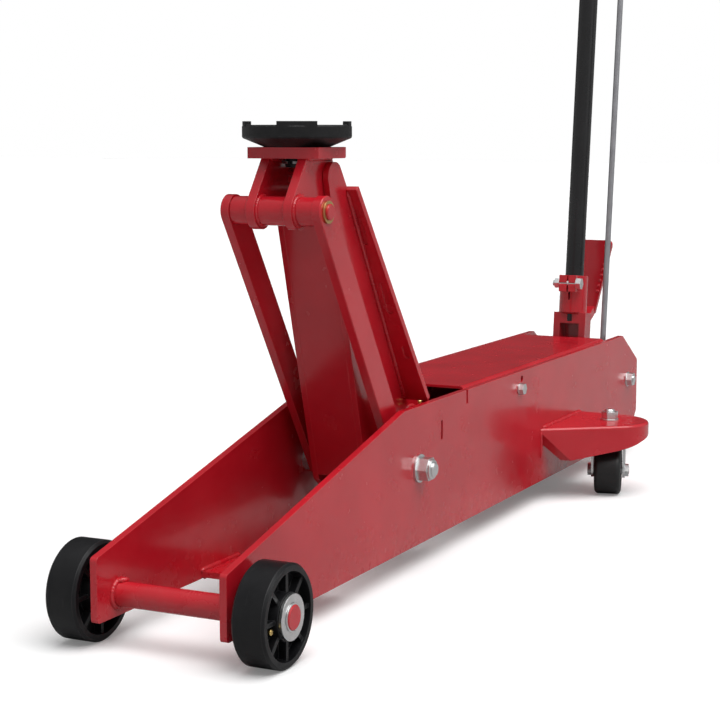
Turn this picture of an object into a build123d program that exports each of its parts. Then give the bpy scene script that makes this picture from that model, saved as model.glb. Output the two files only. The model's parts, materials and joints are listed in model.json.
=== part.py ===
"""Long-chassis hydraulic floor jack, built as separate pieces.

Frame: +X points to the lifting end, +Y to the left, +Z up. The floor is z = 0 and the origin is the
middle of the footprint. The jack is drawn fully raised with its handle upright. Millimetres.
"""

import os
from math import asin, atan2, cos, degrees, hypot, radians, sin

from build123d import *

os.makedirs("parts", exist_ok=True)

# ---------------------------------------------------------------- driving dimensions
FIT = 0.05                 # radial play of every turning or sliding fit

FRONT_X = 751.5            # front edge of the side plates
PLATE_LENGTH = 1511.0
PLATE_IN = 81.0            # inner face of a side plate
PLATE_OUT = 90.0           # outer face
PLATE_BOTTOM = 34.0
PLATE_TOP = 225.0

AXLE_X = FRONT_X - 45.0
AXLE_R = 15.0
WHEEL_R = 60.0
WHEEL_IN = 102.5           # inner and outer face of a front wheel
WHEEL_OUT = 144.0
BUSH_R = 19.5

ARM_X = FRONT_X - 593.0    # main pivot of the lifting arm
ARM_Z = 180.5
ARM_ANGLE = 57.0           # elevation of the raised arm
ARM_LENGTH = 424.0
SHAFT_R = 18.0
HUB_R = 30.0
ARM_IN = 33.0              # inner and outer face of an arm side plate
ARM_OUT = 41.0

LINK_X = ARM_X + 78.0      # lower pivot of the levelling links
LINK_Z = ARM_Z - 40.5
LINK_IN = 58.0
LINK_OUT = 70.0
LINK_HALF_WIDTH = 20.0

HEAD_X = ARM_X + ARM_LENGTH * cos(radians(ARM_ANGLE))    # pin at the top of the arm
HEAD_Z = ARM_Z + ARM_LENGTH * sin(radians(ARM_ANGLE))
PIN_X = HEAD_X + 78.0      # pin at the top of the links
PIN_Z = HEAD_Z - 40.5
HEAD_PIN_R = 12.0
LINK_PIN_R = 10.0

EAR_IN = 20.0              # ears of the saddle bracket
EAR_OUT = 32.0
TABLE_Z = HEAD_Z + 23.5    # underside of the saddle bracket's table
TABLE_THICKNESS = 14.0
SADDLE_X = HEAD_X + 25.0
SADDLE_R = 69.0
SADDLE_SEAT_Z = TABLE_Z + TABLE_THICKNESS + 24.5
LUG_HEIGHT = 7.5
LUG_TURN = 28.0            # the four lugs are turned off the X axis

CRANK_R = 100.0            # push bar's distance from the main pivot
CRANK_SWEEP = 33.85        # half of the arm's travel, in degrees either side of straight down
BAR_R = 18.0
BAR_X = ARM_X + CRANK_R * sin(radians(CRANK_SWEEP))
BAR_Z = ARM_Z - CRANK_R * cos(radians(CRANK_SWEEP))
PUSH_GAP = 0.27            # play between push bar and push pad with the arm raised

RAM_Z = 95.0
RAM_R = 22.0
BORE_R = 32.0
TANK_FRONT = FRONT_X - 890.0
TANK_REAR = FRONT_X - 1190.0
BODY_REAR = FRONT_X - 1330.0

HANDLE_X = FRONT_X - 1394.0    # pivot of the pump handle
HANDLE_Z = 200.0
HANDLE_LEAN = 6.1              # degrees behind upright
HANDLE_LENGTH = 975.0
HANDLE_R = 16.5
LOBE_R = 32.0                  # pump roller's distance from the handle pivot
LOBE_ANGLE = 28.0              # degrees behind straight down, handle at rest
PUMP_ROLLER_R = 9.0
PLUNGER_R = 8.0
PLUNGER_Z = HANDLE_Z - 30.0
ROD_Y = 60.0                   # release rod beside the handle
ROD_R = 5.0
SPINDLE_LEAN = 36.0            # release valve spindle, degrees off vertical

KING_X = FRONT_X - 1126.0      # rear caster kingpin
KING_Y = 162.0
WING_TOP = 120.0
WING_THICKNESS = 6.0
WING_R = 64.0
CASTER_R = 40.0
CASTER_TRAIL = 18.0
CASTER_TURN = 15.0             # rest position of the casters, degrees outwards

# ---------------------------------------------------------------- helpers


def upright(y):
    """Plane parallel to XZ at station y, drawn in (x, z). Extrusion runs towards -Y."""
    return Plane.XZ.offset(-y)


def tilted(x, y, z, angle):
    """Plane parallel to XZ with its first axis raised by angle. Extrusion runs towards -Y."""
    slope = radians(angle)
    return Plane(origin=(x, y, z), x_dir=(cos(slope), 0, sin(slope)), z_dir=(0, -1, 0))


def cross_rod(radius, y_from, y_to, x, z, mode=Mode.ADD):
    """Round bar along Y."""
    with Locations((x, (y_from + y_to) / 2, z)):
        Cylinder(radius, y_to - y_from, rotation=(90, 0, 0), mode=mode)


def long_rod(radius, x_from, x_to, y, z, mode=Mode.ADD):
    """Round bar along X."""
    with Locations(((x_from + x_to) / 2, y, z)):
        Cylinder(radius, x_to - x_from, rotation=(0, 90, 0), mode=mode)


def block(x_from, x_to, y_from, y_to, z_from, z_to, mode=Mode.ADD):
    """Box between six faces."""
    with Locations(((x_from + x_to) / 2, (y_from + y_to) / 2, (z_from + z_to) / 2)):
        Box(x_to - x_from, y_to - y_from, z_to - z_from, mode=mode)


def hex_across(flats, y_from, y_to, x, z):
    """Hexagonal prism along Y."""
    with BuildSketch(upright(y_to)) as outline:
        with Locations((x, z)):
            RegularPolygon(flats / 2, 6, major_radius=False)
    extrude(outline.sketch, amount=y_to - y_from)


def write(piece, name):
    """Name a finished piece and write it."""
    piece.part.label = name
    export_step(piece.part, "parts/" + name + ".step")


def write_pair(piece, name):
    """Write a left piece and its mirrored right twin."""
    with BuildPart() as twin:
        mirror(piece.part, about=Plane.XZ)
    write(piece, name + "_left")
    write(twin, name + "_right")


def write_both_sides(piece, name):
    """Write a left piece and its mirror image as one group of separate solids."""
    with BuildPart() as group:
        add(piece.part)
        mirror(piece.part, about=Plane.XZ)
    write(group, name)


# ---------------------------------------------------------------- frame: side plates
CORNER = 5.0
NOTCH_X = FRONT_X - 684.0
NOTCH = (6.0, 20.0)
SLOPE_END_X = FRONT_X - 468.0
NOSE_Z = 111.0
TANG = (6.0, 27.0)             # key on the end of the main shaft and its slot in the plate
COVER_BOLT_X = FRONT_X - 895.0
COVER_BOLT_Z = 198.0
COVER_BOLT_R = 5.0
TIE_X = FRONT_X - 1451.0
TIE_Z = 142.0
TIE_R = 7.0
LINK_BOLT_R = 10.0
BOSS_IN = 72.0                 # inner end of the boss round the main shaft

with BuildPart() as side_plate:
    with BuildSketch(upright(PLATE_OUT)):
        with BuildLine():
            Polyline(
                (FRONT_X, PLATE_BOTTOM),
                (FRONT_X, NOSE_Z),
                (SLOPE_END_X, PLATE_TOP),
                (FRONT_X - 1420.0, PLATE_TOP),
                (FRONT_X - PLATE_LENGTH, 172.0),
                (FRONT_X - PLATE_LENGTH, 76.0),
                (FRONT_X - 1468.0, PLATE_BOTTOM),
                close=True,
            )
        make_face()
        with Locations((AXLE_X, WHEEL_R)):
            Circle(AXLE_R + FIT, mode=Mode.SUBTRACT)
        with Locations((ARM_X, ARM_Z)):
            Rectangle(TANG[0] + 2 * FIT, TANG[1] + 2 * FIT, mode=Mode.SUBTRACT)
        with Locations((LINK_X, LINK_Z)):
            Circle(LINK_BOLT_R + FIT, mode=Mode.SUBTRACT)
        with Locations((COVER_BOLT_X, COVER_BOLT_Z)):
            Circle(COVER_BOLT_R + FIT, mode=Mode.SUBTRACT)
        with Locations((COVER_BOLT_X - 10.0, 212.5)):
            Circle(5.0, mode=Mode.SUBTRACT)
        with Locations((TIE_X, TIE_Z)):
            Circle(TIE_R + FIT, mode=Mode.SUBTRACT)
        with Locations((NOTCH_X, PLATE_TOP - NOTCH[1] / 2)):
            Rectangle(NOTCH[0], NOTCH[1], mode=Mode.SUBTRACT)
    extrude(amount=PLATE_OUT - PLATE_IN)
    edges_across = side_plate.edges().filter_by(Axis.Y)
    fillet(edges_across.group_by(Axis.X)[-1], CORNER)
    fillet(side_plate.edges().filter_by(Axis.Y).group_by(Axis.X)[0], 2 * CORNER)
    cross_rod(HUB_R, BOSS_IN, PLATE_IN, ARM_X, ARM_Z)
    chamfer(side_plate.edges().filter_by(GeomType.CIRCLE).group_by(Axis.Y)[0], 2.0)
    cross_rod(SHAFT_R + FIT, BOSS_IN, PLATE_IN, ARM_X, ARM_Z, mode=Mode.SUBTRACT)
write_pair(side_plate, "side_plate")

# ---------------------------------------------------------------- frame: cross members
TANK_OUT_R = 50.0
UNIT_BOLTS = [(FRONT_X - 1260.0 + dx, dy) for dx in (-50.0, 50.0) for dy in (-35.0, 35.0)]
with BuildPart() as front_axle:
    cross_rod(AXLE_R, -151.0, 151.0, AXLE_X, WHEEL_R)
    for side in (-1, 1):
        low, high = sorted((side * PLATE_OUT, side * (WHEEL_IN - 1.5)))
        cross_rod(AXLE_R + 8.0, low, high, AXLE_X, WHEEL_R)
    chamfer(front_axle.edges().filter_by(GeomType.CIRCLE).group_by(Axis.Y)[-1], 1.5)
    chamfer(front_axle.edges().filter_by(GeomType.CIRCLE).group_by(Axis.Y)[0], 1.5)
    for y in (-149.2, 149.2):
        with BuildSketch(upright(y + 0.6)):
            with Locations((AXLE_X, WHEEL_R)):
                Circle(AXLE_R + 1.0)
                Circle(AXLE_R - 1.2, mode=Mode.SUBTRACT)
        extrude(amount=1.2, mode=Mode.SUBTRACT)
write(front_axle, "front_axle")

with BuildPart() as cross_plates:
    block(FRONT_X - 322.0, FRONT_X - 228.0, -PLATE_IN, PLATE_IN, 36.0, 44.0)
    with Locations((FRONT_X - 275.0, 0, 40.0)):
        Cylinder(16.0, 8.0, mode=Mode.SUBTRACT)
    block(FRONT_X - 1492.0, FRONT_X - 1484.0, -PLATE_IN, PLATE_IN, 62.0, 104.0)
    block(FRONT_X - 1350.0, FRONT_X - 1192.0, -PLATE_IN, PLATE_IN, 36.0, 46.0)
    with Locations(*[(x, y, 41.0) for x, y in UNIT_BOLTS]):
        Cylinder(5.0 + FIT, 10.0, mode=Mode.SUBTRACT)
    block(FRONT_X - 936.0, FRONT_X - 928.0, -PLATE_IN, PLATE_IN, 38.0, 168.0)
    long_rod(TANK_OUT_R + FIT, FRONT_X - 936.0, FRONT_X - 928.0, 0, RAM_Z, mode=Mode.SUBTRACT)
write(cross_plates, "cross_plates")

COVER_FRONT = FRONT_X - 693.0
COVER_REAR = FRONT_X - 1338.0
COVER_THICKNESS = 4.0
COVER_SKIRT_Z = 184.0
with BuildPart() as cover_plate:
    block(COVER_REAR, COVER_FRONT, -PLATE_IN + FIT, PLATE_IN - FIT, COVER_SKIRT_Z, PLATE_TOP + 3.0)
    top_sides = cover_plate.edges().filter_by(Axis.X).group_by(Axis.Z)[-1]
    fillet(top_sides, 7.0)
    inner = PLATE_IN - COVER_THICKNESS
    block(COVER_REAR, COVER_FRONT, -inner, inner, COVER_SKIRT_Z, PLATE_TOP + 3.0 - COVER_THICKNESS,
          mode=Mode.SUBTRACT)
    cross_rod(COVER_BOLT_R + FIT, -PLATE_IN, PLATE_IN, COVER_BOLT_X, COVER_BOLT_Z, mode=Mode.SUBTRACT)
write(cover_plate, "cover_plate")

with BuildPart() as cover_bolts:
    hex_across(16.0, inner - 8.0, inner, COVER_BOLT_X, COVER_BOLT_Z)
    cross_rod(COVER_BOLT_R + FIT, inner - 8.0, inner, COVER_BOLT_X, COVER_BOLT_Z, mode=Mode.SUBTRACT)
    cross_rod(COVER_BOLT_R, PLATE_IN - 14.0, PLATE_OUT + 1.0, COVER_BOLT_X, COVER_BOLT_Z)
    cross_rod(COVER_BOLT_R + 4.0, PLATE_OUT, PLATE_OUT + 2.0, COVER_BOLT_X, COVER_BOLT_Z)
    hex_across(16.0, PLATE_OUT + 2.0, PLATE_OUT + 9.0, COVER_BOLT_X, COVER_BOLT_Z)
write_both_sides(cover_bolts, "cover_bolts")

# Rod, spacer tube and two nuts with washers.
with BuildPart() as rear_tie_rod:
    cross_rod(TIE_R + 5.0, -PLATE_IN, PLATE_IN, TIE_X, TIE_Z)
    for side in (-1, 1):
        low, high = sorted((side * PLATE_OUT, side * (PLATE_OUT + 2.0)))
        cross_rod(TIE_R + 6.5, low, high, TIE_X, TIE_Z)
        low, high = sorted((side * (PLATE_OUT + 2.0), side * (PLATE_OUT + 12.0)))
        hex_across(22.0, low, high, TIE_X, TIE_Z)
    cross_rod(TIE_R + FIT, -PLATE_OUT - 12.0, PLATE_OUT + 12.0, TIE_X, TIE_Z, mode=Mode.SUBTRACT)
    cross_rod(TIE_R, -PLATE_OUT - 14.0, PLATE_OUT + 14.0, TIE_X, TIE_Z)
write(rear_tie_rod, "rear_tie_rod")

# ---------------------------------------------------------------- frame: pivots of arm and links
with BuildPart() as main_shaft:
    cross_rod(SHAFT_R, -PLATE_IN, PLATE_IN, ARM_X, ARM_Z)
    block(ARM_X - TANG[0] / 2, ARM_X + TANG[0] / 2, -PLATE_OUT + 3.0, PLATE_OUT - 3.0,
          ARM_Z - TANG[1] / 2, ARM_Z + TANG[1] / 2)
write(main_shaft, "main_shaft")

# Each bolt carries a spacer tube between link and side plate.
with BuildPart() as link_bolts:
    cross_rod(LINK_BOLT_R + 6.0, LINK_OUT + 0.5, PLATE_IN, LINK_X, LINK_Z)
    cross_rod(LINK_BOLT_R + FIT, LINK_OUT + 0.5, PLATE_IN, LINK_X, LINK_Z, mode=Mode.SUBTRACT)
    cross_rod(LINK_BOLT_R, LINK_IN - 1.0, PLATE_OUT + 25.0, LINK_X, LINK_Z)
    hex_across(30.0, LINK_IN - 12.0, LINK_IN - 1.0, LINK_X, LINK_Z)
    chamfer(link_bolts.edges().filter_by(GeomType.CIRCLE).group_by(Axis.Y)[-1], 1.5)
write_both_sides(link_bolts, "link_bolts")

with BuildPart() as link_nuts:
    cross_rod(LINK_BOLT_R + 9.5, PLATE_OUT, PLATE_OUT + 3.0, LINK_X, LINK_Z)
    hex_across(30.0, PLATE_OUT + 3.0, PLATE_OUT + 18.0, LINK_X, LINK_Z)
    cross_rod(14.0, PLATE_OUT + 18.0, PLATE_OUT + 22.0, LINK_X, LINK_Z)
    chamfer(link_nuts.edges().filter_by(GeomType.CIRCLE).group_by(Axis.Y)[-1], 1.5)
    cross_rod(LINK_BOLT_R + FIT, PLATE_OUT, PLATE_OUT + 22.0, LINK_X, LINK_Z, mode=Mode.SUBTRACT)
write_both_sides(link_nuts, "link_nuts")

# ---------------------------------------------------------------- front wheels
wheel_section = Plane(origin=(AXLE_X, 0, WHEEL_R), x_dir=(0, 1, 0), z_dir=(1, 0, 0))
wheel_axis = Axis((AXLE_X, 0, WHEEL_R), (0, 1, 0))
RIM_R = 51.0
HUB_OUT_R = 27.5
RECESS = 13.0
with BuildPart() as front_wheel:
    with BuildSketch(wheel_section):
        with BuildLine():
            Polyline(
                (WHEEL_IN, BUSH_R),
                (WHEEL_IN, HUB_OUT_R),
                (WHEEL_IN + RECESS, HUB_OUT_R + 2.0),
                (WHEEL_IN + RECESS, RIM_R - 2.0),
                (WHEEL_IN, RIM_R),
                (WHEEL_IN, WHEEL_R - 3.0),
                (WHEEL_IN + 3.0, WHEEL_R),
                (WHEEL_OUT - 3.0, WHEEL_R),
                (WHEEL_OUT, WHEEL_R - 3.0),
                (WHEEL_OUT, RIM_R),
                (WHEEL_OUT - RECESS, RIM_R - 2.0),
                (WHEEL_OUT - RECESS, HUB_OUT_R + 2.0),
                (WHEEL_OUT, HUB_OUT_R),
                (WHEEL_OUT, BUSH_R),
                close=True,
            )
        make_face()
    revolve(axis=wheel_axis)
    for face_y in (WHEEL_OUT - 3.0, WHEEL_IN + RECESS + 0.5):
        rib_plane = Plane(origin=(AXLE_X, face_y, WHEEL_R), x_dir=(1, 0, 0), z_dir=(0, -1, 0))
        with BuildSketch(rib_plane):
            with PolarLocations((HUB_OUT_R + RIM_R) / 2, 8):
                Rectangle(RIM_R - HUB_OUT_R - 0.5, 5.0)
        extrude(amount=RECESS - 2.5)
write_pair(front_wheel, "front_wheel")

with BuildPart() as front_bushes:
    cross_rod(BUSH_R - FIT, WHEEL_IN, WHEEL_OUT, AXLE_X, WHEEL_R)
    cross_rod(AXLE_R + FIT, WHEEL_IN, WHEEL_OUT, AXLE_X, WHEEL_R, mode=Mode.SUBTRACT)
write_both_sides(front_bushes, "front_bushes")

# A thrust washer and a snap ring at each end of the axle.
with BuildPart() as wheel_retainers:
    cross_rod(26.5, WHEEL_OUT + 0.6, WHEEL_OUT + 4.4, AXLE_X, WHEEL_R)
    cross_rod(AXLE_R + FIT, WHEEL_OUT + 0.6, WHEEL_OUT + 4.4, AXLE_X, WHEEL_R, mode=Mode.SUBTRACT)
    with BuildSketch(upright(149.7)):
        with Locations((AXLE_X, WHEEL_R)):
            Circle(AXLE_R + 1.8)
            Circle(AXLE_R - 1.1, mode=Mode.SUBTRACT)
        with Locations((AXLE_X, WHEEL_R - AXLE_R)):
            Rectangle(6.0, 8.0, mode=Mode.SUBTRACT)
    extrude(amount=1.0)
write_both_sides(wheel_retainers, "wheel_retainers")

# ---------------------------------------------------------------- rear wings and casters
WING_FRONT = FRONT_X - 993.0
WING_REAR = FRONT_X - 1196.0
SKIRT = 5.0
wing_floor = WING_TOP - WING_THICKNESS
with BuildPart() as caster_wing:
    with BuildSketch(Plane.XY.offset(PLATE_BOTTOM + 2.0)) as wing_outline:
        with Locations((KING_X, KING_Y)):
            Circle(WING_R)
        with Locations(((WING_FRONT + WING_REAR) / 2, PLATE_OUT + 0.5)):
            Rectangle(WING_FRONT - WING_REAR, 1.0)
        make_hull()
    extrude(amount=WING_TOP - PLATE_BOTTOM - 2.0)
    outer_top = [edge for edge in caster_wing.edges().group_by(Axis.Z)[-1]
                 if edge.center().Y > PLATE_OUT + 3.0]
    fillet(outer_top, 5.0)
    with BuildSketch(Plane.XY.offset(PLATE_BOTTOM + 2.0)):
        with Locations((KING_X, KING_Y)):
            Circle(WING_R - SKIRT)
        with Locations(((WING_FRONT + WING_REAR) / 2 - SKIRT, PLATE_OUT)):
            Rectangle(WING_FRONT - WING_REAR - 4 * SKIRT, 1.0)
        make_hull()
        with Locations((KING_X, PLATE_OUT - 5.0)):
            Rectangle(400.0, 10.0, mode=Mode.SUBTRACT)
    extrude(amount=wing_floor - PLATE_BOTTOM - 2.0, mode=Mode.SUBTRACT)
    with BuildSketch(upright(KING_Y + WING_R + 5.0)):
        with BuildLine():
            Polyline(
                (WING_FRONT + 5.0, PLATE_BOTTOM),
                (WING_FRONT + 5.0, wing_floor - 4.0),
                (WING_FRONT - 2.0, wing_floor - 4.0),
                (WING_FRONT - 30.0, 66.0),
                (KING_X + 56.0, 79.0),
                (KING_X + 20.0, 91.0),
                (KING_X - 20.0, 100.0),
                (WING_REAR - 5.0, wing_floor - 6.0),
                (WING_REAR - 5.0, PLATE_BOTTOM),
                close=True,
            )
        make_face()
    extrude(amount=KING_Y + WING_R + 5.0 - PLATE_OUT, mode=Mode.SUBTRACT)
    with Locations((KING_X, KING_Y, WING_TOP)):
        Cylinder(8.0 + FIT, 40.0, mode=Mode.SUBTRACT)
write_both_sides(caster_wing, "caster_wings")

CROWN_TOP = wing_floor - 6.5
CROWN = 6.0
# Pin, nut with washer and thrust ring of each caster.
with BuildPart() as kingpins:
    with Locations((KING_X, KING_Y, wing_floor - 3.0)):
        Cylinder(24.0, 6.0)
    with Locations((KING_X, KING_Y, WING_TOP + 1.0)):
        Cylinder(15.0, 2.0)
    with BuildSketch(Plane.XY.offset(WING_TOP + 2.0)):
        with Locations((KING_X, KING_Y)):
            RegularPolygon(12.0, 6, major_radius=False)
    extrude(amount=12.0)
    with Locations((KING_X, KING_Y, WING_TOP)):
        Cylinder(8.0 + FIT, 40.0, mode=Mode.SUBTRACT)
    pin_bottom = CROWN_TOP - CROWN - 6.5
    with Locations((KING_X, KING_Y, (pin_bottom + 138.0) / 2)):
        Cylinder(8.0, 138.0 - pin_bottom)
    chamfer(kingpins.edges().filter_by(GeomType.CIRCLE).group_by(Axis.Z)[-1], 1.5)
    with Locations((KING_X, KING_Y, pin_bottom + 3.0)):
        Cylinder(12.0, 6.0)
write_both_sides(kingpins, "caster_kingpins")

# The caster is drawn about its kingpin with the trail along local +x, then turned outwards.
caster_base = Plane(
    origin=(KING_X, KING_Y, 0),
    x_dir=(cos(radians(CASTER_TURN)), sin(radians(CASTER_TURN)), 0),
    z_dir=(0, 0, 1),
)
LEG_IN = 23.5
LEG = 4.0
CASTER_WHEEL_HALF = 21.5
CASTER_AXLE_R = 6.0
with BuildPart(caster_base) as caster_fork:
    with Locations((0, 0, CROWN_TOP - CROWN / 2)):
        Cylinder(30.0, CROWN)
    with BuildSketch(caster_base * Plane.XZ.offset(-LEG_IN - LEG)) as leg_outline:
        with BuildLine():
            Polyline(
                (-20.0, CROWN_TOP),
                (22.0, CROWN_TOP),
                (CASTER_TRAIL + 13.0, CASTER_R),
                (CASTER_TRAIL - 13.0, CASTER_R),
                close=True,
            )
        make_face()
        with Locations((CASTER_TRAIL, CASTER_R)):
            Circle(13.0)
            Circle(CASTER_AXLE_R + FIT, mode=Mode.SUBTRACT)
    extrude(amount=LEG)
    with BuildSketch(caster_base * Plane.XZ.offset(LEG_IN)):
        with BuildLine():
            Polyline(
                (-20.0, CROWN_TOP),
                (22.0, CROWN_TOP),
                (CASTER_TRAIL + 13.0, CASTER_R),
                (CASTER_TRAIL - 13.0, CASTER_R),
                close=True,
            )
        make_face()
        with Locations((CASTER_TRAIL, CASTER_R)):
            Circle(13.0)
            Circle(CASTER_AXLE_R + FIT, mode=Mode.SUBTRACT)
    extrude(amount=LEG)
    with Locations((0, 0, CROWN_TOP - CROWN / 2)):
        Cylinder(8.0 + FIT, CROWN, mode=Mode.SUBTRACT)
write_pair(caster_fork, "caster_fork")

with BuildPart(caster_base) as caster_wheel:
    with Locations((CASTER_TRAIL, 0, CASTER_R)):
        Cylinder(CASTER_R, 2 * CASTER_WHEEL_HALF, rotation=(90, 0, 0))
    fillet(caster_wheel.edges().filter_by(GeomType.CIRCLE), 7.0)
    for side in (-1, 1):
        with Locations((CASTER_TRAIL, side * (CASTER_WHEEL_HALF - 2.0), CASTER_R)):
            Cylinder(28.0, 4.0, rotation=(90, 0, 0), mode=Mode.SUBTRACT)
            Cylinder(13.0, 4.0, rotation=(90, 0, 0))
    with Locations((CASTER_TRAIL, 0, CASTER_R)):
        Cylinder(CASTER_AXLE_R + FIT, 60.0, rotation=(90, 0, 0), mode=Mode.SUBTRACT)
write_pair(caster_wheel, "caster_wheel")

with BuildPart(caster_base) as caster_axle:
    with Locations((CASTER_TRAIL, 0.5, CASTER_R)):
        Cylinder(CASTER_AXLE_R, 2 * (LEG_IN + LEG) + 13.0, rotation=(90, 0, 0))
    with BuildSketch(caster_base * Plane.XZ.offset(LEG_IN + LEG)):
        with Locations((CASTER_TRAIL, CASTER_R)):
            RegularPolygon(9.5, 6, major_radius=False)
    extrude(amount=6.0)
    with BuildSketch(caster_base * Plane.XZ.offset(-LEG_IN - LEG)):
        with Locations((CASTER_TRAIL, CASTER_R)):
            RegularPolygon(9.5, 6, major_radius=False)
            Circle(CASTER_AXLE_R + FIT, mode=Mode.SUBTRACT)
    extrude(amount=-6.0)
write_pair(caster_axle, "caster_axle")

# ---------------------------------------------------------------- lifting arm
# Drawn in arm coordinates: the first axis runs from the main pivot to the head pin, and the second
# points to the side that is on top when the arm is lowered.
HEAD_END_R = 19.0
HUB_PLATE_R = 40.0
CRANK_END_R = 24.0
BAR_END_R = 10.0
TOE = (27.0, -134.0)           # lower front corner of the side plates
TOE_R = 10.0
WEB_START = (46.0, 7.0)        # underside of the back plate, from hub to head
WEB_END = (394.0, 16.0)
WEB_THICKNESS = 8.0
bar_local_angle = radians(CRANK_SWEEP - 90.0 - ARM_ANGLE)
bar_local = (CRANK_R * cos(bar_local_angle), CRANK_R * sin(bar_local_angle))

with BuildPart() as arm_side_plate:
    with BuildSketch(tilted(ARM_X, ARM_OUT, ARM_Z, ARM_ANGLE)):
        Circle(HUB_PLATE_R)
        with Locations((ARM_LENGTH, 0)):
            Circle(HEAD_END_R)
        with Locations(bar_local):
            Circle(CRANK_END_R)
        with Locations(TOE):
            Circle(TOE_R)
        make_hull()
        with BuildLine():
            Polyline(WEB_START, WEB_END, (WEB_END[0], 60.0), (WEB_START[0], 60.0), close=True)
        make_face(mode=Mode.SUBTRACT)
        Circle(HUB_R + FIT, mode=Mode.SUBTRACT)
        with Locations((ARM_LENGTH, 0)):
            Circle(HEAD_PIN_R + FIT, mode=Mode.SUBTRACT)
        with Locations(bar_local):
            Circle(BAR_END_R + FIT, mode=Mode.SUBTRACT)
    extrude(amount=ARM_OUT - ARM_IN)
write_both_sides(arm_side_plate, "arm_side_plates")

with BuildPart() as arm_hub_tube:
    cross_rod(HUB_R, -70.0, 70.0, ARM_X, ARM_Z)
    cross_rod(SHAFT_R + FIT, -70.0, 70.0, ARM_X, ARM_Z, mode=Mode.SUBTRACT)
write(arm_hub_tube, "arm_hub_tube")

# The back plate lies in the notch of the side plates and widens towards the hub.
WEB_HEAD_HALF = 56.0
WEB_HUB_HALF = 77.0
WEB_POCKETS = ((85.0, 63.0, 22.0), (176.0, 56.0, 52.0), (290.0, 47.5, 56.0))
web_length = hypot(WEB_END[0] - WEB_START[0], WEB_END[1] - WEB_START[1])
web_angle = ARM_ANGLE + degrees(atan2(WEB_END[1] - WEB_START[1], WEB_END[0] - WEB_START[0]))
web_origin = tilted(ARM_X, 0, ARM_Z, ARM_ANGLE).from_local_coords(WEB_START)
web_plane = Plane(
    origin=web_origin,
    x_dir=(cos(radians(web_angle)), 0, sin(radians(web_angle))),
    z_dir=(-sin(radians(web_angle)), 0, cos(radians(web_angle))),
)
with BuildPart() as arm_back_plate:
    with BuildSketch(web_plane):
        with BuildLine():
            Polyline(
                (0.5, -WEB_HUB_HALF),
                (web_length - 0.5, -WEB_HEAD_HALF),
                (web_length - 0.5, WEB_HEAD_HALF),
                (0.5, WEB_HUB_HALF),
                close=True,
            )
        make_face()
    extrude(amount=WEB_THICKNESS)
    with BuildSketch(web_plane):
        for reach, half, length in WEB_POCKETS:
            with Locations((reach, -half), (reach, half)):
                SlotOverall(length, 8.0)
    extrude(amount=2.0, mode=Mode.SUBTRACT)
write(arm_back_plate, "arm_back_plate")

# The front plate closes the box between the side plates, flush with their lower edge.
belly_span = hypot(ARM_LENGTH - TOE[0], TOE[1])
belly_angle = degrees(atan2(-TOE[1], ARM_LENGTH - TOE[0]) - asin((HEAD_END_R - TOE_R) / belly_span))
toe_centre = tilted(ARM_X, ARM_IN, ARM_Z, ARM_ANGLE).from_local_coords(TOE)
with BuildPart() as arm_front_plate:
    with BuildSketch(tilted(toe_centre.X, ARM_IN, toe_centre.Z, ARM_ANGLE + belly_angle)):
        with Locations((belly_span / 2 - 18.0, 4.0 - TOE_R)):
            Rectangle(belly_span - 44.0, 8.0)
    extrude(amount=2 * ARM_IN)
write(arm_front_plate, "arm_front_plate")

with BuildPart() as crank_push_bar:
    cross_rod(BAR_R, -ARM_IN + 0.5, ARM_IN - 0.5, BAR_X, BAR_Z)
    cross_rod(BAR_END_R, -ARM_OUT - 2.0, ARM_OUT + 2.0, BAR_X, BAR_Z)
write(crank_push_bar, "crank_push_bar")

with BuildPart() as head_pin:
    cross_rod(HEAD_PIN_R, -ARM_OUT, ARM_OUT, HEAD_X, HEAD_Z)
write(head_pin, "head_pin")

# ---------------------------------------------------------------- levelling links
with BuildPart() as levelling_link:
    with BuildSketch(tilted(LINK_X, LINK_OUT, LINK_Z, ARM_ANGLE)):
        with Locations((0, 0), (ARM_LENGTH, 0)):
            Circle(LINK_HALF_WIDTH)
        make_hull()
        Circle(LINK_BOLT_R + FIT, mode=Mode.SUBTRACT)
        with Locations((ARM_LENGTH, 0)):
            Circle(LINK_PIN_R + FIT, mode=Mode.SUBTRACT)
    extrude(amount=LINK_OUT - LINK_IN)
    chamfer(levelling_link.faces().sort_by(Axis.Y)[-1].outer_wire().edges(), 1.0)
write_both_sides(levelling_link, "levelling_links")

# ---------------------------------------------------------------- saddle bracket
TABLE_FRONT = HEAD_X + 63.0
TABLE_REAR = HEAD_X - 19.0
TABLE_HALF = 50.0
EYE_R = 23.0
TUBE_R = 18.0
POST_R = 15.0
with BuildPart() as bracket_table:
    block(TABLE_REAR, TABLE_FRONT, -TABLE_HALF, TABLE_HALF, TABLE_Z, TABLE_Z + TABLE_THICKNESS)
    rear_corners = bracket_table.edges().filter_by(Axis.Z).group_by(Axis.X)[0]
    chamfer(rear_corners, 7.0)
    chamfer(bracket_table.edges().filter_by(Axis.Y).group_by(Axis.X)[0].group_by(Axis.Z)[0], 9.0)
    with Locations((SADDLE_X, 0, TABLE_Z + TABLE_THICKNESS / 2)):
        Cylinder(POST_R + FIT, TABLE_THICKNESS, mode=Mode.SUBTRACT)
write(bracket_table, "bracket_table")

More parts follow.
